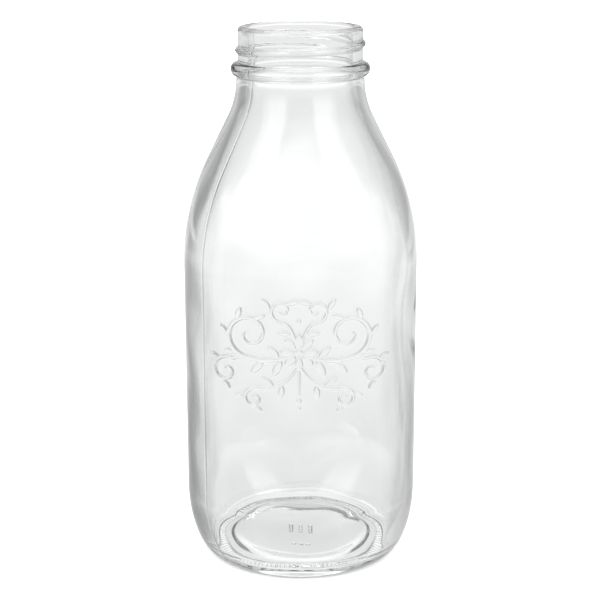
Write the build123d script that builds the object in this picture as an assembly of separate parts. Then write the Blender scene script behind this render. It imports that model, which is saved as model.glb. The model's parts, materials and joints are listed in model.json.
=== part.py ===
from build123d import *
import os
from math import cos, pi, radians, sin, sqrt, tan

# A one-litre milk bottle, blown as one piece of clear glass, with a single-start screw finish.
# Millimetres, +Z up. The origin is the centre of the ring that it stands on. Its front is -Y.
#
# A level section of the body is a superellipse, |x|^n + |y|^n = a^n, where a is half its width.
# Its squareness n is 2 for a circle, and more for a square with rounded corners.

# Driving dimensions: overall
HEIGHT = 212.0
BODY_WIDTH = 92.0
BODY_SQUARENESS = 2.8
CAVITY_SQUARENESS = 2.7
CIRCLE = 2.0

# Driving dimensions: base
STANDING_RADIUS = 37.5
HEEL_HEIGHT = 30.0
PUSH_UP_RADIUS = 29.5
PUSH_UP_STEP_RADIUS = 28.3
PUSH_UP_STEP = 3.0
PUSH_UP_DEPTH = 4.0

# Driving dimensions: shoulder, which leaves the neck on a hollow arc and joins the body on a full one
NECK_RADIUS = 25.0
NECK_FOOT = 192.0
SLOPE = 26.4
HOLLOW_ARC_RADIUS = 32.8
FULL_ARC_RADIUS = 88.0

# Driving dimensions: glass thickness, and the floor with its raised middle and the moat round it
WALL = 2.7
FLOOR_HEIGHT = 6.0
FLOOR_RADIUS = 26.5
MOAT_HEIGHT = 4.6
MOAT_RADIUS = 32.5
INNER_HEEL_RADIUS = 38.5
INNER_HEEL_HEIGHT = 23.0

# Driving dimensions: finish, which is everything above the neck
COLLAR_RADIUS = 24.8
FINISH_RADIUS = 24.3
BORE_RADIUS = 20.4
BORE_LEDGE = 0.4
LIP_OUTER_ROUND = 1.7
LIP_INNER_ROUND = 1.2
BEAD_RADIUS = 27.1
BEAD_DROP = 16.3
BEAD_HEIGHT = 5.4

# Driving dimensions: right-hand thread
THREAD_RADIUS = 25.3
THREAD_PITCH = 5.08
THREAD_DROP = 8.0
THREAD_ROOT_WIDTH = 2.9
THREAD_CREST_WIDTH = 1.3
THREAD_FIRST_ANGLE = 60.0
THREAD_LAST_ANGLE = 480.0
THREAD_TAPER_ANGLE = 24.0
THREAD_ROOT_SINK = 0.4
THREAD_END_SCALE = 0.3

# Driving dimensions: raised leaf ornament on the front
ORNAMENT_HEIGHT = 0.5
ORNAMENT_CENTRE = 95.0
LEAF_LENGTH = 11.0
LEAF_WIDTH = 4.0
PETAL_LENGTH = 7.5
PETAL_WIDTH = 3.6
PETALS = 8
STEM_WIDTH = 1.3
STEM_SPAN = 25.0
STEM_RISE = 7.0
LEAF_ANGLE = 55.0
LEAF_STATIONS = (0.35, 0.65)

# How far cutting solids reach past the surfaces that they cut, and how far the ornament is rooted
CLEAR = 1.0
ORNAMENT_ROOT = 1.0

# Smoothness of the lofted surfaces
SECTION_POINTS = 48
HEEL_SECTIONS = 10
SHOULDER_SECTIONS = 15
THREAD_STEP_ANGLE = 12.0

GLASS_DENSITY = 2.5e-3  # g/mm3

BODY_HALF = BODY_WIDTH / 2
HOLLOW_ARC_END = NECK_FOOT - HOLLOW_ARC_RADIUS * sin(radians(SLOPE))
HOLLOW_ARC_REACH = NECK_RADIUS + HOLLOW_ARC_RADIUS * (1 - cos(radians(SLOPE)))
FULL_ARC_REACH = BODY_HALF - FULL_ARC_RADIUS * (1 - cos(radians(SLOPE)))
FULL_ARC_END = HOLLOW_ARC_END - (FULL_ARC_REACH - HOLLOW_ARC_REACH) / tan(radians(SLOPE))
SHOULDER_FOOT = FULL_ARC_END - FULL_ARC_RADIUS * sin(radians(SLOPE))


def ease(t):
    """Goes smoothly from 0 to 1 as t does."""
    return t * t * (3 - 2 * t)


def ring_section(half_width, squareness, z):
    """A level superellipse face at height z."""
    points = []
    for i in range(SECTION_POINTS):
        angle = 2 * pi * i / SECTION_POINTS
        c = abs(cos(angle)) ** squareness
        s = abs(sin(angle)) ** squareness
        reach = half_width / (c + s) ** (1 / squareness)
        points.append((reach * cos(angle), reach * sin(angle), z))
    return Face(Wire([Edge.make_spline([Vector(*p) for p in points], periodic=True)]))


def shoulder_half_width(z):
    """Half the outer width between the top of the straight body and the neck."""
    if z >= HOLLOW_ARC_END:
        return NECK_RADIUS + HOLLOW_ARC_RADIUS - sqrt(HOLLOW_ARC_RADIUS**2 - (NECK_FOOT - z) ** 2)
    if z >= FULL_ARC_END:
        return HOLLOW_ARC_REACH + (HOLLOW_ARC_END - z) * tan(radians(SLOPE))
    return BODY_HALF - FULL_ARC_RADIUS + sqrt(FULL_ARC_RADIUS**2 - (z - SHOULDER_FOOT) ** 2)


def shoulder_squareness(z, body_squareness):
    """The corners fade out up the shoulder, slowly at first."""
    t = (z - SHOULDER_FOOT) / (NECK_FOOT - SHOULDER_FOOT)
    return CIRCLE + (body_squareness - CIRCLE) * (1 + cos(pi * t**1.5)) / 2


def heel_solid(low_z, low_radius, height, half_width, squareness):
    """A quarter-ellipse heel, from a circle at its foot to the full body section."""
    sections = []
    for i in range(HEEL_SECTIONS):
        angle = radians(90 * i / (HEEL_SECTIONS - 1))
        rise = 1 - cos(angle)
        reach = low_radius + (half_width - low_radius) * sin(angle)
        sections.append(
            ring_section(reach, CIRCLE + (squareness - CIRCLE) * ease(rise), low_z + height * rise)
        )
    return loft(sections)


def straight_solid(low_z, half_width, squareness):
    """The straight-sided stretch, up to the foot of the shoulder."""
    return extrude(ring_section(half_width, squareness, low_z), SHOULDER_FOOT - low_z, dir=(0, 0, 1))


def outer_shoulder():
    sections = []
    for i in range(SHOULDER_SECTIONS):
        z = SHOULDER_FOOT + (NECK_FOOT - SHOULDER_FOOT) * i / (SHOULDER_SECTIONS - 1)
        sections.append(ring_section(shoulder_half_width(z), shoulder_squareness(z, BODY_SQUARENESS), z))
    return loft(sections)


def inner_shoulder():
    """The wall thickens up the shoulder. A small ledge is left where the cavity meets the bore."""
    neck_wall = NECK_RADIUS - BORE_RADIUS - BORE_LEDGE
    sections = []
    for i in range(SHOULDER_SECTIONS):
        t = i / (SHOULDER_SECTIONS - 1)
        z = SHOULDER_FOOT + (NECK_FOOT - SHOULDER_FOOT) * t
        wall = WALL + (neck_wall - WALL) * ease(t)
        sections.append(
            ring_section(shoulder_half_width(z) - wall, shoulder_squareness(z, CAVITY_SQUARENESS), z)
        )
    return loft(sections)


def turned(*edges):
    """A solid of revolution about Z from a closed profile in the XZ plane."""
    return revolve(make_face(edges), axis=Axis.Z)


def finish_blank():
    """Collar, bead and lip, without the bore."""
    bead_low = HEIGHT - BEAD_DROP - BEAD_HEIGHT / 2
    bead_high = bead_low + BEAD_HEIGHT
    lip_low = HEIGHT - LIP_OUTER_ROUND
    lip_in = FINISH_RADIUS - LIP_OUTER_ROUND
    lip_mid = LIP_OUTER_ROUND * sin(radians(45))
    return turned(
        Line((0, 0, NECK_FOOT), (COLLAR_RADIUS, 0, NECK_FOOT)),
        Line((COLLAR_RADIUS, 0, NECK_FOOT), (COLLAR_RADIUS, 0, bead_low)),
        ThreePointArc(
            (COLLAR_RADIUS, 0, bead_low),
            (BEAD_RADIUS, 0, HEIGHT - BEAD_DROP),
            (FINISH_RADIUS, 0, bead_high),
        ),
        Line((FINISH_RADIUS, 0, bead_high), (FINISH_RADIUS, 0, lip_low)),
        ThreePointArc(
            (FINISH_RADIUS, 0, lip_low),
            (lip_in + lip_mid, 0, lip_low + lip_mid),
            (lip_in, 0, HEIGHT),
        ),
        Line((lip_in, 0, HEIGHT), (0, 0, HEIGHT)),
        Line((0, 0, HEIGHT), (0, 0, NECK_FOOT)),
    )


def bore():
    """The straight bore, opened out at the top by the rounding inside the lip."""
    flare_radius = BORE_RADIUS + LIP_INNER_ROUND
    flare_low = HEIGHT - LIP_INNER_ROUND
    flare_mid = LIP_INNER_ROUND * (1 - sin(radians(45)))
    above = HEIGHT + CLEAR
    return turned(
        Line((0, 0, NECK_FOOT), (BORE_RADIUS, 0, NECK_FOOT)),
        Line((BORE_RADIUS, 0, NECK_FOOT), (BORE_RADIUS, 0, flare_low)),
        ThreePointArc(
            (BORE_RADIUS, 0, flare_low),
            (BORE_RADIUS + flare_mid, 0, HEIGHT - flare_mid),
            (flare_radius, 0, HEIGHT),
        ),
        Line((flare_radius, 0, HEIGHT), (flare_radius, 0, above)),
        Line((flare_radius, 0, above), (0, 0, above)),
        Line((0, 0, above), (0, 0, NECK_FOOT)),
    )


def push_up():
    """The hollow under the base: a chamfered step, then a shallow spherical dome centred on the axis."""
    below = -CLEAR
    rise = PUSH_UP_DEPTH - PUSH_UP_STEP
    dome_radius = (PUSH_UP_STEP_RADIUS**2 + rise**2) / (2 * rise)
    halfway = PUSH_UP_STEP_RADIUS / 2
    dome_mid = PUSH_UP_DEPTH - dome_radius + sqrt(dome_radius**2 - halfway**2)
    return turned(
        Line((0, 0, below), (PUSH_UP_RADIUS, 0, below)),
        Line((PUSH_UP_RADIUS, 0, below), (PUSH_UP_RADIUS, 0, 0)),
        Line((PUSH_UP_RADIUS, 0, 0), (PUSH_UP_STEP_RADIUS, 0, PUSH_UP_STEP)),
        ThreePointArc(
            (PUSH_UP_STEP_RADIUS, 0, PUSH_UP_STEP), (halfway, 0, dome_mid), (0, 0, PUSH_UP_DEPTH)
        ),
        Line((0, 0, PUSH_UP_DEPTH), (0, 0, below)),
    )


def raised_floor():
    """The flat middle of the floor and the slope from its edge down into the moat."""
    below = MOAT_HEIGHT - CLEAR
    return turned(
        Line((0, 0, below), (MOAT_RADIUS, 0, below)),
        Line((MOAT_RADIUS, 0, below), (MOAT_RADIUS, 0, MOAT_HEIGHT)),
        Line((MOAT_RADIUS, 0, MOAT_HEIGHT), (FLOOR_RADIUS, 0, FLOOR_HEIGHT)),
        Line((FLOOR_RADIUS, 0, FLOOR_HEIGHT), (0, 0, FLOOR_HEIGHT)),
        Line((0, 0, FLOOR_HEIGHT), (0, 0, below)),
    )


def thread_section(angle, scale):
    """A trapezoid across the ridge, on the radial plane at the given angle."""
    z = HEIGHT - THREAD_DROP + THREAD_PITCH * (angle - 270) / 360
    root = FINISH_RADIUS - THREAD_ROOT_SINK
    crest = root + (THREAD_RADIUS - root) * scale
    root_half = THREAD_ROOT_WIDTH / 2 * scale
    crest_half = THREAD_CREST_WIDTH / 2 * scale
    corners = [
        (root, z - root_half),
        (crest, z - crest_half),
        (crest, z + crest_half),
        (root, z + root_half),
    ]
    c = cos(radians(angle))
    s = sin(radians(angle))
    return Face(Wire.make_polygon([(r * c, r * s, h) for r, h in corners]))


def thread():
    """The ridge rises anticlockwise seen from above, and both its ends fade into the finish."""
    sections = []
    steps = round((THREAD_LAST_ANGLE - THREAD_FIRST_ANGLE) / THREAD_STEP_ANGLE)
    for i in range(steps + 1):
        angle = THREAD_FIRST_ANGLE + THREAD_STEP_ANGLE * i
        from_end = min(angle - THREAD_FIRST_ANGLE, THREAD_LAST_ANGLE - angle)
        full = ease(min(from_end / THREAD_TAPER_ANGLE, 1))
        sections.append(thread_section(angle, THREAD_END_SCALE + (1 - THREAD_END_SCALE) * full))
    return loft(sections)


def leaf(x, z, angle, length, width):
    """A pointed leaf from its stalk end, between two equal arcs, on the XZ plane."""
    start = (0, 0)
    tip = (length, 0)
    upper = ThreePointArc(start, (length / 2, width / 2), tip)
    lower = ThreePointArc(tip, (length / 2, -width / 2), start)
    return Plane.XZ * Pos(x, z) * Rot(0, 0, angle) * make_face([upper, lower])


def stem(side):
    """One arched stem, from the flower out to the side."""
    upper_rise = STEM_RISE + STEM_WIDTH / 2
    lower_rise = STEM_RISE - STEM_WIDTH / 2
    inner = (0, ORNAMENT_CENTRE)
    outer = (side * STEM_SPAN, ORNAMENT_CENTRE)
    middle = side * STEM_SPAN / 2
    upper = ThreePointArc(inner, (middle, ORNAMENT_CENTRE + upper_rise), outer)
    lower = ThreePointArc(outer, (middle, ORNAMENT_CENTRE + lower_rise), inner)
    return Plane.XZ * make_face([upper, lower])


def ornament():
    """A flower between two stems, standing proud of the curved front. Leaves follow each stem's arch."""
    shapes = [stem(-1), stem(1)]
    for i in range(PETALS):
        shapes.append(leaf(0, ORNAMENT_CENTRE, 360 * i / PETALS, PETAL_LENGTH, PETAL_WIDTH))
    for side in (-1, 1):
        for along in LEAF_STATIONS:
            x = side * STEM_SPAN * along
            z = ORNAMENT_CENTRE + 4 * STEM_RISE * along * (1 - along)
            outwards = 0 if side > 0 else 180
            shapes.append(leaf(x, z, outwards + LEAF_ANGLE, LEAF_LENGTH, LEAF_WIDTH))
            shapes.append(leaf(x, z, outwards - LEAF_ANGLE, LEAF_LENGTH, LEAF_WIDTH))
    outline = Sketch() + shapes
    blank = extrude(outline, BODY_HALF + ORNAMENT_HEIGHT + CLEAR)
    proud = straight_solid(HEEL_HEIGHT, BODY_HALF + ORNAMENT_HEIGHT, BODY_SQUARENESS)
    core = straight_solid(HEEL_HEIGHT, BODY_HALF - ORNAMENT_ROOT, BODY_SQUARENESS)
    return (blank & proud) - core


def glass_bottle():
    outside = heel_solid(0, STANDING_RADIUS, HEEL_HEIGHT, BODY_HALF, BODY_SQUARENESS)
    outside += straight_solid(HEEL_HEIGHT, BODY_HALF, BODY_SQUARENESS)
    outside += outer_shoulder()
    outside += finish_blank() + thread()
    inner_half = BODY_HALF - WALL
    inside = heel_solid(MOAT_HEIGHT, INNER_HEEL_RADIUS, INNER_HEEL_HEIGHT, inner_half, CAVITY_SQUARENESS)
    inside += straight_solid(MOAT_HEIGHT + INNER_HEEL_HEIGHT, inner_half, CAVITY_SQUARENESS)
    inside += inner_shoulder()
    inside += bore()
    inside -= raised_floor()
    return outside - inside - push_up() + ornament(), inside


os.makedirs("parts", exist_ok=True)
bottle, cavity = glass_bottle()
print("brimful capacity, ml:", round(cavity.volume / 1000, 1))
print("glass, g:", round(bottle.volume * GLASS_DENSITY, 1))
export_step(bottle, "parts/glass_bottle.step")
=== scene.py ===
import json
import math
import bpy
import numpy as np
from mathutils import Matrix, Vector

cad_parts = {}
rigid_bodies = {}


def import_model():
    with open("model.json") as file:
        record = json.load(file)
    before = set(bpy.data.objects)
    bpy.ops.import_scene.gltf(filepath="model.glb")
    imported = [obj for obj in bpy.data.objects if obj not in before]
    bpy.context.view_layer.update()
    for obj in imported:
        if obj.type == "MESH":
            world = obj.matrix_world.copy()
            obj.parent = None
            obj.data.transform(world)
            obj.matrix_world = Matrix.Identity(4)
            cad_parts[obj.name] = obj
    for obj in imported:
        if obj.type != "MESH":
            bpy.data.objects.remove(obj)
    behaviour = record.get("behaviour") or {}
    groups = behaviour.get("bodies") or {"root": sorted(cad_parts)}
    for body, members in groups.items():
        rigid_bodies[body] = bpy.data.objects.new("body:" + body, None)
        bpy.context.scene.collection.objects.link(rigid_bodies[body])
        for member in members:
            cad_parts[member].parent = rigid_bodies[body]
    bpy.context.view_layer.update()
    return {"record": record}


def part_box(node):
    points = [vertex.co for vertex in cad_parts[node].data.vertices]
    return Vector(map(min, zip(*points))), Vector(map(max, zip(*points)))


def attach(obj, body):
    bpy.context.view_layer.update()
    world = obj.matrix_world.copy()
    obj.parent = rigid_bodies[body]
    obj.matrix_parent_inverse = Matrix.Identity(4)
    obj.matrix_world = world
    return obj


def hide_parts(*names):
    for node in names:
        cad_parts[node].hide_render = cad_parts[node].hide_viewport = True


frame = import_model()

# A clear glass milk bottle. The shape is worked out in millimetres, in the frame of the CAD model,
# and scaled to metres when its mesh is made. Its front is towards -Y.
#
# The glass is one closed surface, described by rings. The rings run from the middle of the base outwards,
# up the outside, over the lip, down the inside and back to the middle of the floor. Each ring is a
# superellipse |x|^n + |y|^n = a^n at height z, where a is half its width and n is its squareness.
MM = 0.001
NODE = "glass_bottle"
BODY = "root"
mounts = {m["name"]: m for m in frame["record"]["mounts"]}
node_low, node_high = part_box(NODE)

# Overall
HEIGHT = node_high.z / MM
BODY_HALF = (node_high.x - node_low.x) / 2 / MM
ORNAMENT_HEIGHT = -node_low.y / MM - BODY_HALF
BODY_SQUARENESS = 2.8
CAVITY_SQUARENESS = 2.7
CIRCLE = 2.0

# Base
STANDING_RADIUS = 37.5
HEEL_LOW = 0.12
HEEL_HEIGHT = 30.0
PUSH_UP_RADIUS = 29.5
PUSH_UP_STEP_RADIUS = 28.3
PUSH_UP_STEP = 3.0
PUSH_UP_DEPTH = 4.0
KNURLS = 128
KNURL_DEPTH = 0.6
KNURL_INNER = 33.4
KNURL_OUTER = 36.9

# Shoulder
NECK_RADIUS = 25.0
NECK_FOOT = HEIGHT - 20.0
SLOPE = math.radians(26.4)
HOLLOW_ARC_RADIUS = 32.8
FULL_ARC_RADIUS = 88.0
HOLLOW_ARC_END = NECK_FOOT - HOLLOW_ARC_RADIUS * math.sin(SLOPE)
HOLLOW_ARC_REACH = NECK_RADIUS + HOLLOW_ARC_RADIUS * (1 - math.cos(SLOPE))
FULL_ARC_REACH = BODY_HALF - FULL_ARC_RADIUS * (1 - math.cos(SLOPE))
FULL_ARC_END = HOLLOW_ARC_END - (FULL_ARC_REACH - HOLLOW_ARC_REACH) / math.tan(SLOPE)
SHOULDER_FOOT = FULL_ARC_END - FULL_ARC_RADIUS * math.sin(SLOPE)

# Glass thickness
WALL = 2.7
FLOOR_HEIGHT = 6.0
FLOOR_RADIUS = 26.5
MOAT_HEIGHT = 4.6
MOAT_RADIUS = 32.5
INNER_HEEL_RADIUS = 38.5
INNER_HEEL_HEIGHT = 23.0
SIDE_THICKENING = 0.8

# Slow waves: how far below the neck they grow to their full height, and where on the floor they fade out
WAVE_GROWTH = 60.0
FLOOR_WAVE_RINGS = 24
FLOOR_WAVE_REACH = 40.0
FLOOR_WAVE_FADE = 8.0

# Ripple low on the inside
RIPPLE_HEIGHT = 6.6
RIPPLE_HALF_WIDTH = 0.9
RIPPLE_DEPTH = 0.6

# Finish
COLLAR_RADIUS = 24.8
FINISH_RADIUS = 24.3
BORE_RADIUS = mounts["mouth_bore"]["dims"]["r_mm"]
LIP_OUTER_ROUND = 1.7
LIP_INNER_ROUND = 1.2
BEAD_RADIUS = 27.1
BEAD_DROP = 16.3
BEAD_HEIGHT = 5.4

# Thread
THREAD_RISE = 1.0
THREAD_PITCH = 5.08
THREAD_DROP = 8.0
THREAD_ROOT_WIDTH = 2.9
THREAD_FIRST_ANGLE = 60.0
THREAD_LAST_ANGLE = 480.0
THREAD_TAPER_ANGLE = 24.0

# Mould seams, where the two halves of the body mould met
SEAM_ANGLES = (-135.9, 44.1)
SEAM_RISES = (0.14, 0.05)
SEAM_HALF_WIDTH = 0.22
SEAM_LOW = 1.0
SEAM_GROWTH = 4.0

# Ornament on the front: where its middle is, half its width and height, and how wide its sloping edges are
ORNAMENT_CENTRE = 95.0
ORNAMENT_REACH = 34.0
ORNAMENT_RISE = 25.0
ORNAMENT_EDGE = 0.6

# How finely the surface is divided
COLUMNS = 168
COLUMN_ANGLE = 360 / COLUMNS
SEAM_OFFSETS = (-0.5, -0.25, 0.0, 0.25, 0.5)
PATCH_HALF_COLUMNS = 21
PATCH_COLUMN_SPLIT = 5
PATCH_ROW_SPLIT = 10
KNURL_SPLIT = 4
BODY_ROW = 3.25
PATCH_ROWS = 2 * math.ceil(ORNAMENT_RISE / BODY_ROW)
OUTER_HEEL_RINGS = 26
INNER_HEEL_RINGS = 32
MOAT_RINGS = 10
FLOOR_RINGS = 16


def ease(t):
    """Goes smoothly from 0 to 1 as t does, and stays there outside."""
    t = np.clip(t, 0.0, 1.0)
    return t * t * (3 - 2 * t)


# ---------------------------------------------------------------- rings


def shoulder_half_width(z):
    """Half the outer width between the top of the straight body and the neck."""
    if z >= HOLLOW_ARC_END:
        return NECK_RADIUS + HOLLOW_ARC_RADIUS - math.sqrt(HOLLOW_ARC_RADIUS**2 - (NECK_FOOT - z) ** 2)
    if z >= FULL_ARC_END:
        return HOLLOW_ARC_REACH + (HOLLOW_ARC_END - z) * math.tan(SLOPE)
    return BODY_HALF - FULL_ARC_RADIUS + math.sqrt(FULL_ARC_RADIUS**2 - (z - SHOULDER_FOOT) ** 2)


def shoulder_squareness(z, squareness):
    """The corners fade out up the shoulder, slowly at first."""
    t = (z - SHOULDER_FOOT) / (NECK_FOOT - SHOULDER_FOOT)
    return CIRCLE + (squareness - CIRCLE) * (1 + math.cos(math.pi * t**1.5)) / 2


def dome_height(radius):
    """The spherical dome of the push-up."""
    rise = PUSH_UP_DEPTH - PUSH_UP_STEP
    sphere = (PUSH_UP_STEP_RADIUS**2 + rise**2) / (2 * rise)
    return PUSH_UP_DEPTH - sphere + math.sqrt(sphere**2 - radius**2)


def under_rings():
    """From the middle of the push-up out to the standing ring, as (z, half width, squareness, split)."""
    rings = [(dome_height(r), r, CIRCLE, 1) for r in np.arange(0.5, 20.0, 0.5)]
    rings += [(dome_height(r), r, CIRCLE, 1) for r in np.linspace(20.5, PUSH_UP_STEP_RADIUS - 0.4, 6)]
    rings += [
        (PUSH_UP_STEP - 0.1, PUSH_UP_STEP_RADIUS, CIRCLE, 1),
        (PUSH_UP_STEP - 0.4, PUSH_UP_STEP_RADIUS + 0.25, CIRCLE, 1),
        (1.1, PUSH_UP_RADIUS - 0.3, CIRCLE, 1),
        (0.55, PUSH_UP_RADIUS, CIRCLE, 1),
        (0.38, PUSH_UP_RADIUS + 0.5, CIRCLE, 1),
        (0.35, PUSH_UP_RADIUS + 2.0, CIRCLE, 1),
    ]
    rings += [(0.0, r, CIRCLE, KNURL_SPLIT) for r in np.linspace(KNURL_INNER, KNURL_OUTER, 10)]
    return rings


def heel_rings(low_z, low_radius, height, half_width, squareness, count):
    """A quarter-ellipse heel, from a circle at its foot to the full section of the body."""
    rings = []
    for i in range(count):
        angle = math.radians(90 * i / count)
        rise = 1 - math.cos(angle)
        reach = low_radius + (half_width - low_radius) * math.sin(angle)
        square = CIRCLE + (squareness - CIRCLE) * float(ease(rise))
        rings.append((low_z + height * rise, reach, square, 1))
    return rings


def bead_rings():
    """The round bead, from the collar below it to the plain finish above it."""
    middle = HEIGHT - BEAD_DROP
    rings = []
    for angle in np.radians(np.linspace(-90, 90, 19)):
        root = COLLAR_RADIUS + (FINISH_RADIUS - COLLAR_RADIUS) * (1 + math.sin(angle)) / 2
        reach = root + (BEAD_RADIUS - root) * math.cos(angle) ** 0.9
        rings.append((middle + BEAD_HEIGHT / 2 * math.sin(angle), reach, CIRCLE, 1))
    return rings


def lip_rings():
    """Round the outer edge of the lip, across its flat top and round its inner edge."""
    rings = []
    for angle in np.radians(np.linspace(0, 90, 8)):
        reach = FINISH_RADIUS - LIP_OUTER_ROUND * (1 - math.cos(angle))
        rings.append((HEIGHT - LIP_OUTER_ROUND * (1 - math.sin(angle)), reach, CIRCLE, 1))
    for angle in np.radians(np.linspace(90, 0, 7)):
        reach = BORE_RADIUS + LIP_INNER_ROUND * (1 - math.cos(angle))
        rings.append((HEIGHT - LIP_INNER_ROUND * (1 - math.sin(angle)), reach, CIRCLE, 1))
    return rings


def outer_rings():
    """From the foot of the heel up to the underside of the lip."""
    heel_height = HEEL_HEIGHT - HEEL_LOW
    rings = heel_rings(HEEL_LOW, STANDING_RADIUS, heel_height, BODY_HALF, BODY_SQUARENESS, OUTER_HEEL_RINGS)
    patch_low = ORNAMENT_CENTRE - PATCH_ROWS * BODY_ROW / 2
    lower = np.linspace(HEEL_HEIGHT, patch_low, 12)[:-1]
    patch = patch_low + BODY_ROW * np.arange(PATCH_ROWS + 1)
    rings += [(z, BODY_HALF, BODY_SQUARENESS, 1) for z in (*lower, *patch)]
    for z in np.linspace(SHOULDER_FOOT, NECK_FOOT, 34):
        rings.append((z, shoulder_half_width(z), shoulder_squareness(z, BODY_SQUARENESS), 1))
    rings.append((NECK_FOOT + 0.35, COLLAR_RADIUS + 0.03, CIRCLE, 1))
    rings += bead_rings()
    thread_low = HEIGHT - BEAD_DROP + BEAD_HEIGHT / 2 + 0.3
    for z in np.arange(thread_low, HEIGHT - LIP_OUTER_ROUND - 0.1, 0.3):
        rings.append((z, FINISH_RADIUS, CIRCLE, 1))
    return rings


def inner_rings():
    """Down the bore, the inside of the shoulder and body, and in across the floor."""
    rings = [(z, BORE_RADIUS, CIRCLE, 1) for z in np.linspace(HEIGHT - 4, NECK_FOOT + 2, 8)]
    neck_wall = NECK_RADIUS - BORE_RADIUS
    for z in np.linspace(NECK_FOOT, SHOULDER_FOOT, 26):
        t = (z - SHOULDER_FOOT) / (NECK_FOOT - SHOULDER_FOOT)
        wall = WALL + (neck_wall - WALL) * float(ease(t))
        rings.append((z, shoulder_half_width(z) - wall, shoulder_squareness(z, CAVITY_SQUARENESS), 1))
    inner_half = BODY_HALF - WALL
    inner_heel_top = MOAT_HEIGHT + INNER_HEEL_HEIGHT
    for z in np.linspace(SHOULDER_FOOT, inner_heel_top, 20)[1:]:
        rings.append((z, inner_half, CAVITY_SQUARENESS, 1))
    rings += heel_rings(
        MOAT_HEIGHT, INNER_HEEL_RADIUS, INNER_HEEL_HEIGHT, inner_half, CAVITY_SQUARENESS, INNER_HEEL_RINGS
    )[::-1]
    for t in np.linspace(0, 1, MOAT_RINGS):
        radius = MOAT_RADIUS + (FLOOR_RADIUS - MOAT_RADIUS) * t
        rings.append((MOAT_HEIGHT + (FLOOR_HEIGHT - MOAT_HEIGHT) * float(ease(t)), radius, CIRCLE, 1))
    rings += [(FLOOR_HEIGHT, r, CIRCLE, 1) for r in np.linspace(FLOOR_RADIUS - 1.5, 1.5, FLOOR_RINGS)]
    return rings


under = under_rings()
outer = outer_rings()
lip = lip_rings()
inner = inner_rings()
rings = np.array(under + outer + lip + inner)
RING_Z, RING_HALF, RING_SQUARE = rings[:, 0], rings[:, 1], rings[:, 2]
RING_SPLIT = rings[:, 3].astype(int)
OUTER_START = len(under)
LIP_START = OUTER_START + len(outer)
INNER_START = LIP_START + len(lip)
FLOOR_START = len(rings) - FLOOR_RINGS
PATCH_START = OUTER_START + int(np.argmin(np.abs(
    np.array(outer)[:, 0] - (ORNAMENT_CENTRE - PATCH_ROWS * BODY_ROW / 2)
)))

# ---------------------------------------------------------------- ornament


def spiral(centre, radius, start, turns, tightness=0.2, count=60):
    """A scroll that winds inwards from its outer end. Its start is in degrees; turns run anticlockwise."""
    t = np.linspace(0, 1, count)
    reach = radius * (1 - (1 - tightness) * t)
    angle = np.radians(start + 360 * turns * t)
    return np.column_stack([centre[0] + reach * np.cos(angle), centre[1] + reach * np.sin(angle)])


def bend(start, middle, end, count=24):
    """A curve from start to end that leans towards the middle point."""
    t = np.linspace(0, 1, count)[:, None]
    start, middle, end = np.array(start), np.array(middle), np.array(end)
    return (1 - t) ** 2 * start + 2 * t * (1 - t) * middle + t**2 * end


def tapered(points, thick, thin):
    """A stroke whose half width goes from thick at its first point to thin at its last."""
    return points, np.linspace(thick, thin, len(points))


def leaf(x, z, angle, length, width):
    """A pointed oval, as a stroke that swells in the middle."""
    t = np.linspace(0, 1, 20)
    along = np.column_stack([np.cos(math.radians(angle)) * t, np.sin(math.radians(angle)) * t])
    return np.array([x, z]) + length * along, width / 2 * np.sin(np.pi * np.clip(t, 0.04, 0.97)) ** 0.8


def dot(x, z, radius):
    """A round bead, as a very short stroke."""
    return np.array([[x, z], [x + 0.01, z]]), np.array([radius, radius])


def sprig(path, along, lean, length, width):
    """A leaf that grows from a stroke, part way along it, leaning from its direction by some degrees."""
    i = min(int(along * len(path)), len(path) - 2)
    step = path[i + 1] - path[i]
    angle = math.degrees(math.atan2(step[1], step[0])) + lean
    away = np.array([math.cos(math.radians(angle)), math.sin(math.radians(angle))])
    x, z = path[i] + 0.5 * away
    return leaf(x, z, angle, length, width)


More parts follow.
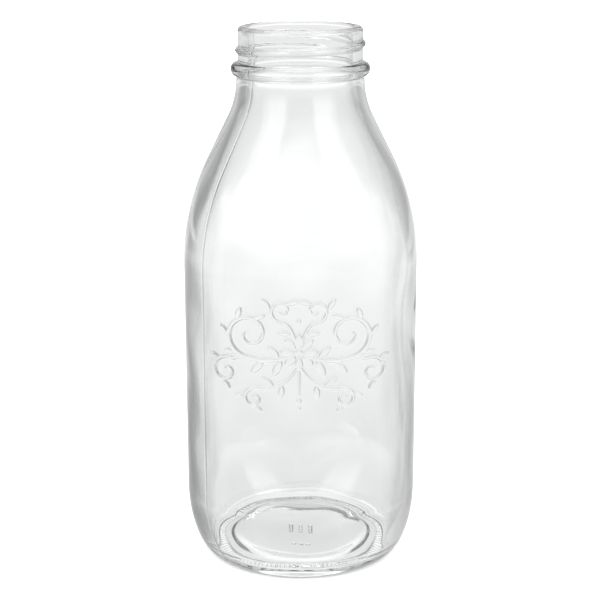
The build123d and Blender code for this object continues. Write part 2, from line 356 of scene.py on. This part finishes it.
def ornament_strokes():
    """The right-hand half of a symmetric scroll of leaves, about the middle of the ornament."""
    stem = bend((1.5, -0.5), (9.0, -4.6), (18.5, -2.5))
    upper = spiral((18.5, 6.7), 9.2, -90, 1.3)
    outer = spiral((27.6, -8.2), 5.7, 118, -1.15)
    crown = spiral((6.4, 16.0), 4.7, -100, 1.15)
    rise = bend((1.0, 3.0), (2.4, 9.6), (5.6, 11.4))
    fall = bend((0.6, -6.0), (6.0, -15.5), (16.4, -14.2))
    lower = spiral((17.0, -18.4), 4.2, 98, -1.1)
    drop = bend((0.0, -5.5), (0.0, -9.0), (0.0, -17.0))
    strokes = [
        tapered(stem, 0.75, 1.15),
        tapered(upper, 1.15, 0.55),
        tapered(bend((18.5, -2.5), (22.0, -1.4), (24.9, -3.2)), 1.0, 0.9),
        tapered(outer, 0.9, 0.5),
        tapered(rise, 0.6, 0.85),
        tapered(crown, 0.85, 0.5),
        tapered(fall, 0.65, 1.0),
        tapered(lower, 0.95, 0.5),
        tapered(drop, 0.8, 0.5),
    ]
    for path, along, lean, length, width in (
        (stem, 0.30, -50, 7.5, 3.2),
        (stem, 0.36, 58, 6.5, 3.0),
        (stem, 0.70, -48, 7.0, 3.0),
        (upper, 0.08, -38, 5.2, 2.5),
        (upper, 0.18, -38, 5.2, 2.5),
        (upper, 0.29, -38, 5.2, 2.5),
        (upper, 0.41, -38, 4.8, 2.3),
        (outer, 0.12, 40, 4.6, 2.2),
        (outer, 0.44, 40, 4.6, 2.2),
        (crown, 0.24, -46, 5.5, 2.4),
        (crown, 0.50, -46, 5.5, 2.4),
        (rise, 0.35, -62, 5.5, 2.4),
        (fall, 0.42, -52, 6.0, 2.6),
        (fall, 0.62, 52, 6.0, 2.6),
        (lower, 0.16, 42, 4.0, 2.0),
        (lower, 0.46, 42, 3.6, 1.9),
    ):
        strokes.append(sprig(path, along, lean, length, width))
    for angle in (90, 45, 0, -45, -90):
        reach = 1.9
        x, z = reach * math.cos(math.radians(angle)), reach * math.sin(math.radians(angle))
        strokes.append(leaf(x, z, angle, 5.4, 3.3))
    strokes += [dot(0.0, 0.0, 1.5), dot(0.0, -19.2, 1.1), dot(0.0, -22.2, 0.8), dot(0.0, 12.0, 1.0)]
    return strokes


def stroke_height(x, z, points, half_widths):
    """How high a stroke stands at each place, from 0 beside it to 1 along its back."""
    best = np.zeros(x.shape)
    for a, b, wa, wb in zip(points[:-1], points[1:], half_widths[:-1], half_widths[1:]):
        reach = max(wa, wb)
        near = (
            (x > min(a[0], b[0]) - reach) & (x < max(a[0], b[0]) + reach)
            & (z > min(a[1], b[1]) - reach) & (z < max(a[1], b[1]) + reach)
        )
        px, pz = x[near], z[near]
        step = b - a
        t = np.clip(((px - a[0]) * step[0] + (pz - a[1]) * step[1]) / (step @ step), 0, 1)
        away = np.hypot(px - a[0] - t * step[0], pz - a[1] - t * step[1])
        best[near] = np.maximum(best[near], ease((wa + (wb - wa) * t - away) / ORNAMENT_EDGE))
    return best


TABLE_STEP = 0.1
table_x = np.arange(0, ORNAMENT_REACH + 1, TABLE_STEP)
table_z = np.arange(-ORNAMENT_RISE, ORNAMENT_RISE + TABLE_STEP, TABLE_STEP)
grid_x, grid_z = np.meshgrid(table_x, table_z)
ornament_table = np.zeros(grid_x.shape)
for stroke_points, stroke_widths in ornament_strokes():
    ornament_table = np.maximum(ornament_table, stroke_height(grid_x, grid_z, stroke_points, stroke_widths))


def ornament_height(x, z):
    """Looks the symmetric ornament up between the points of its table."""
    u = np.clip(np.abs(x) / TABLE_STEP, 0, len(table_x) - 1.001)
    v = np.clip((z - ORNAMENT_CENTRE + ORNAMENT_RISE) / TABLE_STEP, 0, len(table_z) - 1.001)
    i, j = u.astype(int), v.astype(int)
    du, dv = u - i, v - j
    low = ornament_table[j, i] * (1 - du) + ornament_table[j, i + 1] * du
    high = ornament_table[j + 1, i] * (1 - du) + ornament_table[j + 1, i + 1] * du
    inside = (np.abs(x) < table_x[-2]) & (np.abs(z - ORNAMENT_CENTRE) < ORNAMENT_RISE)
    return (low * (1 - dv) + high * dv) * inside


# ---------------------------------------------------------------- surface


def thread_height(angle, z):
    """The right-hand ridge on the finish. The angle is in degrees, anticlockwise from +X."""
    height = np.zeros(z.shape)
    for turn in (0.0, 360.0):
        along = np.mod(angle, 360.0) + turn
        middle = HEIGHT - THREAD_DROP + THREAD_PITCH * (along - 270) / 360
        fade = ease(np.minimum(along - THREAD_FIRST_ANGLE, THREAD_LAST_ANGLE - along) / THREAD_TAPER_ANGLE)
        across = (z - middle) / (THREAD_ROOT_WIDTH / 2)
        height = np.maximum(height, THREAD_RISE * fade * np.clip(1 - across**2, 0, 1) ** 0.8)
    return height


def seam_height(angle, reach):
    """A fine raised line at each mould seam."""
    height = np.zeros(angle.shape)
    for seam, rise in zip(SEAM_ANGLES, SEAM_RISES):
        away = np.radians(np.mod(angle - seam + 180, 360) - 180) * reach
        height += rise * np.exp(-((away / SEAM_HALF_WIDTH) ** 2))
    return height


def wall_waves(angle, z):
    """Slow changes in thickness that blowing leaves on the inside of the wall."""
    a = np.radians(angle)
    waves = 0.20 * np.sin(2 * a + 0.7 + z / 31) + 0.15 * np.sin(3 * a - 1.3 + z / 17)
    waves += 0.10 * np.sin(5 * a + 2.1 - z / 11) + 0.06 * np.sin(9 * a + 0.4 + z / 7)
    return (waves - SIDE_THICKENING * np.cos(a) ** 2) * ease((NECK_FOOT - z) / WAVE_GROWTH)


def heel_ripple(angle, z):
    """An uneven ripple low on the inside, where the wall runs into the floor."""
    a = np.radians(angle)
    uneven = (0.75 + 0.25 * np.sin(7 * a + 0.6) * np.sin(3 * a + 1.9)) * (0.4 + 0.6 * ease(np.sin(a) / 0.4))
    middle = RIPPLE_HEIGHT + 0.3 * np.sin(4 * a + 0.5) + 0.15 * np.sin(11 * a) + 0.12 * np.sin(53 * a)
    return RIPPLE_DEPTH * uneven * np.exp(-(((z - middle) / RIPPLE_HALF_WIDTH) ** 2))


def floor_waves(x, y):
    """The floor of the cavity is never quite flat."""
    return 0.12 * np.sin(x / 9 + 0.5) * np.cos(y / 11 - 0.8) + 0.04 * np.sin(x / 4 - y / 5)


def knurl_lift(angle, reach):
    """The standing ring is lifted clear of the ground, apart from the crests of its short radial knurls."""
    crest = 0.5 + 0.5 * np.cos(np.radians(angle) * KNURLS)
    middle = (KNURL_INNER + KNURL_OUTER) / 2
    across = np.abs(reach - middle) / ((KNURL_OUTER - KNURL_INNER) / 2)
    return KNURL_DEPTH * (1 - ease(crest * 1.4 - 0.2) * ease((1 - across) * 2.5))


def base_marks(x, y):
    """Plain mould marks under the base: three bars in the middle and three dots towards the front."""
    mark = np.zeros(x.shape)
    for bar_x in (-4.2, 0.0, 4.2):
        inside = np.minimum(0.9 - np.abs(x - bar_x), 4.2 - np.abs(y))
        mark = np.maximum(mark, ease(inside / 0.6))
    for dot_x in (-3.2, 0.0, 3.2):
        inside = 1.0 - np.hypot(x - dot_x, y + 15.5)
        mark = np.maximum(mark, ease(inside / 0.6))
    return 0.5 * mark


def surface(angle, row):
    """Points of the glass, in millimetres, at the given angles and places along the rings."""
    ring = np.arange(len(RING_Z))
    z = np.interp(row, ring, RING_Z)
    half = np.interp(row, ring, RING_HALF)
    square = np.interp(row, ring, RING_SQUARE)
    c, s = np.cos(np.radians(angle)), np.sin(np.radians(angle))
    stretch = (np.abs(c) ** square + np.abs(s) ** square) ** (-1 / square)
    on_under = row < OUTER_START - 0.5
    on_outer = (row >= OUTER_START) & (row < LIP_START)
    on_finish = on_outer & (z > HEIGHT - BEAD_DROP)
    on_body = on_outer & (z > HEEL_HEIGHT) & (z < SHOULDER_FOOT) & (s < 0)
    on_inner = row >= INNER_START
    on_floor = row >= FLOOR_START - FLOOR_WAVE_RINGS
    rise = np.zeros(z.shape)
    rise[on_finish] += thread_height(angle, z)[on_finish]
    seams = seam_height(angle, half * stretch) * ease((z - SEAM_LOW) / SEAM_GROWTH)
    rise[on_outer] += seams[on_outer]
    rise[on_body] += (ORNAMENT_HEIGHT * ornament_height(half * stretch * c, z))[on_body]
    rise[on_inner] += (wall_waves(angle, z) - heel_ripple(angle, z))[on_inner]
    reach = (half + rise) * stretch
    x, y = reach * c, reach * s
    knurled = on_under & (half > KNURL_INNER - 0.1)
    z[knurled] = knurl_lift(angle, half)[knurled]
    z[on_under] -= base_marks(x, y)[on_under]
    z[on_floor] += (floor_waves(x, y) * ease((FLOOR_WAVE_REACH - half) / FLOOR_WAVE_FADE))[on_floor]
    return np.column_stack([x, y, z])


# ---------------------------------------------------------------- mesh


def column_angles():
    """Even columns all round from the back, with a few close ones on each mould seam."""
    even = -270 + COLUMN_ANGLE * np.arange(COLUMNS)
    seams = [np.mod(a + offset + 270, 360) - 270 for a in SEAM_ANGLES for offset in SEAM_OFFSETS]
    return np.sort(np.concatenate([even, seams]))


class Net:
    """Collects the vertices and faces of the surface on a lattice of rings and columns."""

    FINE = PATCH_COLUMN_SPLIT * KNURL_SPLIT

    def __init__(self):
        self.columns = column_angles()
        self.count = len(self.columns)
        edge = PATCH_HALF_COLUMNS * COLUMN_ANGLE
        self.patch_left = int(np.argmin(np.abs(self.columns + 90 + edge)))
        self.patch_right = int(np.argmin(np.abs(self.columns + 90 - edge)))
        self.ids = {}
        self.faces = []

    def vertex(self, ring, down, column, across):
        """The vertex part way from one ring to the next, and part way from one column to the next."""
        key = (ring * PATCH_ROW_SPLIT + down, (column * self.FINE + across) % (self.count * self.FINE))
        return self.ids.setdefault(key, len(self.ids))

    def in_patch(self, ring, column):
        in_rows = PATCH_START <= ring < PATCH_START + PATCH_ROWS
        return in_rows and self.patch_left <= column < self.patch_right

    def across_split(self, ring, column):
        """How many pieces the edge along this ring is in."""
        if self.in_patch(ring, column) or self.in_patch(ring - 1, column):
            return PATCH_COLUMN_SPLIT
        return RING_SPLIT[ring]

    def down_split(self, ring, column):
        """How many pieces the edge along this column is in."""
        if self.in_patch(ring, column) or self.in_patch(ring, column - 1):
            return PATCH_ROW_SPLIT
        return 1

    def grid(self, ring, column, down, across):
        """Fills one cell with a grid of quads."""
        step_down, step_across = PATCH_ROW_SPLIT // down, self.FINE // across
        for i in range(down):
            for j in range(across):
                d, a = i * step_down, j * step_across
                self.faces.append((
                    self.vertex(ring, d, column, a),
                    self.vertex(ring, d, column, a + step_across),
                    self.vertex(ring, d + step_down, column, a + step_across),
                    self.vertex(ring, d + step_down, column, a),
                ))

    def border(self, ring, column):
        """Fills one cell with a single face that takes up the extra vertices on its edges."""
        low, high = self.across_split(ring, column), self.across_split(ring + 1, column)
        left, right = self.down_split(ring, column), self.down_split(ring, column + 1)
        face = [self.vertex(ring, 0, column, self.FINE // low * j) for j in range(low)]
        face += [self.vertex(ring, PATCH_ROW_SPLIT // right * i, column + 1, 0) for i in range(right)]
        face += [self.vertex(ring + 1, 0, column, self.FINE // high * j) for j in range(high, 0, -1)]
        face += [self.vertex(ring, PATCH_ROW_SPLIT // left * i, column, 0) for i in range(left, 0, -1)]
        self.faces.append(tuple(face))

    def fill(self):
        last = len(RING_Z) - 1
        for ring in range(last):
            for column in range(self.count):
                low, high = self.across_split(ring, column), self.across_split(ring + 1, column)
                if self.in_patch(ring, column):
                    self.grid(ring, column, PATCH_ROW_SPLIT, PATCH_COLUMN_SPLIT)
                elif low == high == KNURL_SPLIT:
                    self.grid(ring, column, 1, KNURL_SPLIT)
                else:
                    self.border(ring, column)
        self.cap(0, reverse=True)
        self.cap(last, reverse=False)

    def cap(self, ring, reverse):
        """Closes the surface at the middle of the base or of the floor."""
        loop = [self.vertex(ring, 0, column, 0) for column in range(self.count)]
        self.faces.append(tuple(loop[::-1] if reverse else loop))

    def places(self):
        """The angle and the place along the rings of every vertex."""
        keys = np.array(list(self.ids))
        row = keys[:, 0] / PATCH_ROW_SPLIT
        turn = keys[:, 1] / self.FINE
        wrapped = np.append(self.columns, self.columns[0] + 360)
        return np.interp(turn, np.arange(self.count + 1), wrapped), row


def surface_normals(angle, row):
    """Normals from the surface itself, smooth also where the columns and rings change their spacing."""
    fine = (row > PATCH_START) & (row < PATCH_START + PATCH_ROWS)
    step = np.where(fine, 0.05, 0.5)
    last = len(RING_Z) - 1
    along = surface(angle, np.minimum(row + step, last)) - surface(angle, np.maximum(row - step, 0))
    around = surface(angle + 0.15, row) - surface(angle - 0.15, row)
    normal = np.cross(around, along)
    return normal / np.linalg.norm(normal, axis=1)[:, None]


def make_bottle():
    net = Net()
    net.fill()
    angle, row = net.places()
    points = surface(angle, row) * MM
    mesh = bpy.data.meshes.new("glass_bottle_visual")
    mesh.from_pydata(points.tolist(), [], net.faces)
    mesh.update()
    mesh.polygons.foreach_set("use_smooth", [True] * len(mesh.polygons))
    normals = surface_normals(angle, row)
    ends = (row < 0.5) | (row > len(RING_Z) - 1.5)
    normals[ends] = np.where((row[ends] < 0.5)[:, None], (0.0, 0.0, -1.0), (0.0, 0.0, 1.0))
    mesh.normals_split_custom_set_from_vertices(normals.tolist())
    piece = bpy.data.objects.new("glass_bottle_visual", mesh)
    bpy.context.scene.collection.objects.link(piece)
    return piece


# ---------------------------------------------------------------- materials


def new_material(name):
    material = bpy.data.materials.new(name)
    material.use_nodes = True
    return material, material.node_tree.nodes, material.node_tree.links


def noise(nodes, scale, detail=2.0):
    """Slow, even noise, the same each time."""
    texture = nodes.new("ShaderNodeTexNoise")
    texture.inputs["Scale"].default_value = scale
    texture.inputs["Detail"].default_value = detail
    return texture


def two_colour_ramp(nodes, low, high):
    """Goes from one colour at 0 to the other at 1."""
    ramp = nodes.new("ShaderNodeValToRGB")
    ramp.color_ramp.elements[0].color = (*low, 1.0)
    ramp.color_ramp.elements[1].color = (*high, 1.0)
    return ramp


def tint_with_painted_edge_shade(nodes, links, place):
    """A faint uneven tint, times painted shade: darker colour where the surface turns away from the eye."""
    uneven = noise(nodes, 14.0)
    links.new(place.outputs["Object"], uneven.inputs["Vector"])
    tint = two_colour_ramp(nodes, (0.97, 0.975, 0.975), (0.995, 1.0, 1.0))
    links.new(uneven.outputs["Fac"], tint.inputs["Fac"])
    # Painted shade: the glass colour goes darker towards its edges, standing in for the dark edges its
    # lighting gives.
    edge = nodes.new("ShaderNodeLayerWeight")
    edge.inputs["Blend"].default_value = 0.5
    shade = two_colour_ramp(nodes, (1.0, 1.0, 1.0), (0.45, 0.46, 0.46))
    shade.color_ramp.interpolation = "EASE"
    shade.color_ramp.elements[0].position = 0.5
    links.new(edge.outputs["Facing"], shade.inputs["Fac"])
    both = nodes.new("ShaderNodeMix")
    both.data_type = "RGBA"
    both.blend_type = "MULTIPLY"
    both.inputs["Factor"].default_value = 1.0
    links.new(tint.outputs["Color"], both.inputs["A"])
    links.new(shade.outputs["Color"], both.inputs["B"])
    return both.outputs["Result"]


def clear_glass():
    """Clear soda-lime glass: a faint cool grey in its depth, painted shade at its edges, slow ripples in its
    surface.
    """
    material, nodes, links = new_material("clear_glass")
    shader = nodes["Principled BSDF"]
    shader.inputs["Transmission Weight"].default_value = 1.0
    shader.inputs["IOR"].default_value = 1.52
    shader.inputs["Roughness"].default_value = 0.0
    place = nodes.new("ShaderNodeTexCoord")
    links.new(tint_with_painted_edge_shade(nodes, links, place), shader.inputs["Base Color"])
    ripple = noise(nodes, 55.0, 1.0)
    links.new(place.outputs["Object"], ripple.inputs["Vector"])
    bump = nodes.new("ShaderNodeBump")
    bump.inputs["Strength"].default_value = 0.25
    bump.inputs["Distance"].default_value = 0.0004
    links.new(ripple.outputs["Fac"], bump.inputs["Height"])
    links.new(bump.outputs["Normal"], shader.inputs["Normal"])
    depth = nodes.new("ShaderNodeVolumeAbsorption")
    depth.inputs["Color"].default_value = (0.76, 0.78, 0.78, 1.0)
    depth.inputs["Density"].default_value = 18.0
    links.new(depth.outputs["Volume"], nodes["Material Output"].inputs["Volume"])
    return material


def floor_material():
    """Matt white paper with the faintest mottle."""
    material, nodes, links = new_material("white_sweep")
    shader = nodes["Principled BSDF"]
    shader.inputs["Roughness"].default_value = 0.9
    shader.inputs["Specular IOR Level"].default_value = 0.1
    mottle = noise(nodes, 3.0)
    ramp = two_colour_ramp(nodes, (0.86, 0.86, 0.86), (0.88, 0.88, 0.88))
    links.new(mottle.outputs["Fac"], ramp.inputs["Fac"])
    links.new(ramp.outputs["Color"], shader.inputs["Base Color"])
    return material


# ---------------------------------------------------------------- studio

# The table top, in metres, and how bright the world is to the glass, in its lights, and to camera and floor
TABLE_RADIUS = 1.5
TABLE_SIDES = 96
ROOM_STRENGTH = 1.2
LIGHTS_STRENGTH = 3.5
PLAIN_STRENGTH = 3.2

# The camera: metres from the axis and above the ground, then degrees round to the right, down and of roll
CAMERA_DISTANCE = 0.600
CAMERA_HEIGHT = 0.267
CAMERA_TURN = math.radians(0.9)
CAMERA_PITCH = math.radians(14.2)
CAMERA_ROLL = math.radians(0.12)


def make_floor():
    """A round white table top. The glass doesn't see it, as white behind clear glass hides its outline."""
    turns = [2 * math.pi * i / TABLE_SIDES for i in range(TABLE_SIDES)]
    mesh = bpy.data.meshes.new("floor")
    rim = [(TABLE_RADIUS * math.cos(a), TABLE_RADIUS * math.sin(a), 0.0) for a in turns]
    mesh.from_pydata(rim, [], [tuple(range(TABLE_SIDES))])
    floor = bpy.data.objects.new("floor", mesh)
    floor.data.materials.append(floor_material())
    bpy.context.scene.collection.objects.link(floor)
    floor.visible_transmission = False
    floor.visible_glossy = False


class Studio:
    """Builds the world's nodes: greys that depend only on the direction of a ray in the room."""

    def __init__(self, world):
        world.use_nodes = True
        self.nodes, self.links = world.node_tree.nodes, world.node_tree.links
        direction = self.nodes.new("ShaderNodeTexCoord")
        split = self.nodes.new("ShaderNodeSeparateXYZ")
        self.links.new(direction.outputs["Generated"], split.inputs["Vector"])
        height = self.math("ARCSINE", split.outputs["Z"])
        around = self.math("ARCTAN2", split.outputs["X"], split.outputs["Y"])
        self.elevation = self.math("ADD", self.math("DIVIDE", height, math.pi), 0.5)
        self.turn = self.math("ADD", self.math("DIVIDE", around, 2 * math.pi), 0.5)

    def math(self, operation, a, b=None):
        node = self.nodes.new("ShaderNodeMath")
        node.operation = operation
        self.links.new(a, node.inputs[0])
        if isinstance(b, float):
            node.inputs[1].default_value = b
        elif b is not None:
            self.links.new(b, node.inputs[1])
        return node.outputs["Value"]

    def ramp(self, source, whole, stops):
        """A smooth grey from (degrees, brightness) pairs. The source runs over the whole range of degrees."""
        ramp = self.nodes.new("ShaderNodeValToRGB")
        ramp.color_ramp.interpolation = "EASE"
        elements = ramp.color_ramp.elements
        while len(elements) < len(stops):
            elements.new(0.5)
        for element, (degrees, grey) in zip(elements, stops):
            element.position = 0.5 + degrees / whole
            element.color = (grey, grey, grey, 1.0)
        self.links.new(source, ramp.inputs["Fac"])
        return ramp.outputs["Color"]

    def by_elevation(self, *stops):
        """Degrees above the horizon."""
        return self.ramp(self.elevation, 180, stops)

    def by_turn(self, *stops):
        """Degrees from straight behind the bottle, positive to its right."""
        return self.ramp(self.turn, 360, stops)

    def mix(self, blend, a, b, factor=1.0):
        node = self.nodes.new("ShaderNodeMix")
        node.data_type = "RGBA"
        node.blend_type = blend
        if isinstance(factor, float):
            node.inputs["Factor"].default_value = factor
        else:
            self.links.new(factor, node.inputs["Factor"])
        self.links.new(a, node.inputs["A"])
        self.links.new(b, node.inputs["B"])
        return node.outputs["Result"]


def make_world():
    """Plain white to the camera and the floor. The glass sees greys that depend on direction: lighter behind
    it, a darker gap to each side of that, two tall soft lights in front and a bright patch overhead."""
    world = bpy.data.worlds.new("studio")
    studio = Studio(world)
    nodes, links = studio.nodes, studio.links
    backdrop = studio.by_elevation(
        (-60, 0.85), (-45, 0.76), (-34, 0.68), (-24, 0.66), (-16.5, 0.78), (-11, 0.93), (-8.5, 0.96),
        (-7, 0.78), (-5.5, 0.72), (4, 0.72), (14, 0.60), (28, 0.60), (45, 0.9), (60, 1.0),
    )
    left_gap = studio.by_turn(
        (-75, 1.0), (-60, 0.75), (-48, 0.45), (-38, 0.40),
        (-30, 0.48), (-24, 0.65), (-19, 0.85), (-13.5, 1.0),
    )
    left_reach = studio.by_elevation(
        (-44, 0.0), (-32, 0.9), (-17, 0.95), (-13, 0.75), (-9, 1.0), (-7.2, 1.0),
        (-6.5, 0.2), (-4.8, 0.2), (-3.4, 1.0), (10, 1.0), (18, 0.3), (26, 0.0),
    )
    right_gap = studio.by_turn(
        (13.5, 1.0), (20, 0.85), (26, 0.65), (38, 0.55), (48, 0.7), (62, 1.0),
    )
    right_reach = studio.by_elevation(
        (-38, 0.0), (-28, 0.5), (-20, 0.85), (-16, 0.6), (-11.5, 0.5), (-9, 1.0), (-7.2, 1.0),
        (-6.5, 0.2), (-4.8, 0.2), (-3.4, 1.0), (10, 1.0), (18, 0.3), (26, 0.0),
    )
    shade = studio.mix("MULTIPLY", backdrop, left_gap, left_reach)
    shade = studio.mix("MULTIPLY", shade, right_gap, right_reach)
    strips = studio.mix(
        "MULTIPLY",
        studio.by_turn(
            (-160, 0.0), (-152, 1.0), (-120, 1.0), (-110, 0.0),
            (110, 0.0), (120, 1.0), (152, 1.0), (160, 0.0),
        ),
        studio.by_elevation((0, 0.0), (22, 0.5), (45, 0.5), (60, 0.0)),
    )
    ceiling = studio.mix(
        "MULTIPLY",
        studio.by_turn((-180, 1.0), (-100, 1.0), (-80, 0.0), (80, 0.0), (100, 1.0), (180, 1.0)),
        studio.by_elevation((56, 0.0), (70, 1.0)),
    )
    room = nodes["Background"]
    links.new(shade, room.inputs["Color"])
    room.inputs["Strength"].default_value = ROOM_STRENGTH
    lights = nodes.new("ShaderNodeBackground")
    links.new(studio.mix("ADD", strips, ceiling), lights.inputs["Color"])
    lights.inputs["Strength"].default_value = LIGHTS_STRENGTH
    seen = nodes.new("ShaderNodeAddShader")
    links.new(room.outputs["Background"], seen.inputs[0])
    links.new(lights.outputs["Background"], seen.inputs[1])
    plain = nodes.new("ShaderNodeBackground")
    plain.inputs["Color"].default_value = (1.0, 1.0, 1.0, 1.0)
    plain.inputs["Strength"].default_value = PLAIN_STRENGTH
    path = nodes.new("ShaderNodeLightPath")
    mix = nodes.new("ShaderNodeMixShader")
    sees_white = studio.math("ADD", path.outputs["Is Camera Ray"], path.outputs["Is Diffuse Ray"])
    links.new(sees_white, mix.inputs["Fac"])
    links.new(seen.outputs["Shader"], mix.inputs[1])
    links.new(plain.outputs["Background"], mix.inputs[2])
    links.new(mix.outputs["Shader"], nodes["World Output"].inputs["Surface"])
    bpy.context.scene.world = world


def area_light(name, place, aim, width, height, watts):
    data = bpy.data.lights.new(name, "AREA")
    data.shape = "RECTANGLE"
    data.size, data.size_y = width, height
    data.energy = watts
    light = bpy.data.objects.new(name, data)
    light.location = place
    light.rotation_euler = (Vector(aim) - Vector(place)).to_track_quat("-Z", "Y").to_euler()
    bpy.context.scene.collection.objects.link(light)


def make_camera():
    """Looks down on the bottle from the front, a little to its right."""
    data = bpy.data.cameras.new("camera")
    data.sensor_width = 36.0
    data.lens = 93.0
    data.shift_y = -0.05
    camera = bpy.data.objects.new("camera", data)
    x, y = CAMERA_DISTANCE * math.sin(CAMERA_TURN), -CAMERA_DISTANCE * math.cos(CAMERA_TURN)
    camera.location = (x, y, CAMERA_HEIGHT)
    camera.rotation_euler = (math.pi / 2 - CAMERA_PITCH, CAMERA_ROLL, CAMERA_TURN)
    bpy.context.scene.collection.objects.link(camera)
    bpy.context.scene.camera = camera


make_camera()
make_floor()
make_world()
area_light("overhead", (0.0, 0.6, 1.4), (0.0, 0.0, 0.0), 1.4, 1.0, 5.0)
bpy.context.scene.view_settings.view_transform = "Standard"

# Light crosses many faces of the glass before it leaves, so it is followed further than usual
bpy.context.scene.cycles.max_bounces = 32
bpy.context.scene.cycles.transmission_bounces = 32
bpy.context.scene.cycles.glossy_bounces = 16

bottle = make_bottle()
bottle.data.materials.append(clear_glass())
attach(bottle, BODY)
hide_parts(NODE)

bpy.context.view_layer.update()
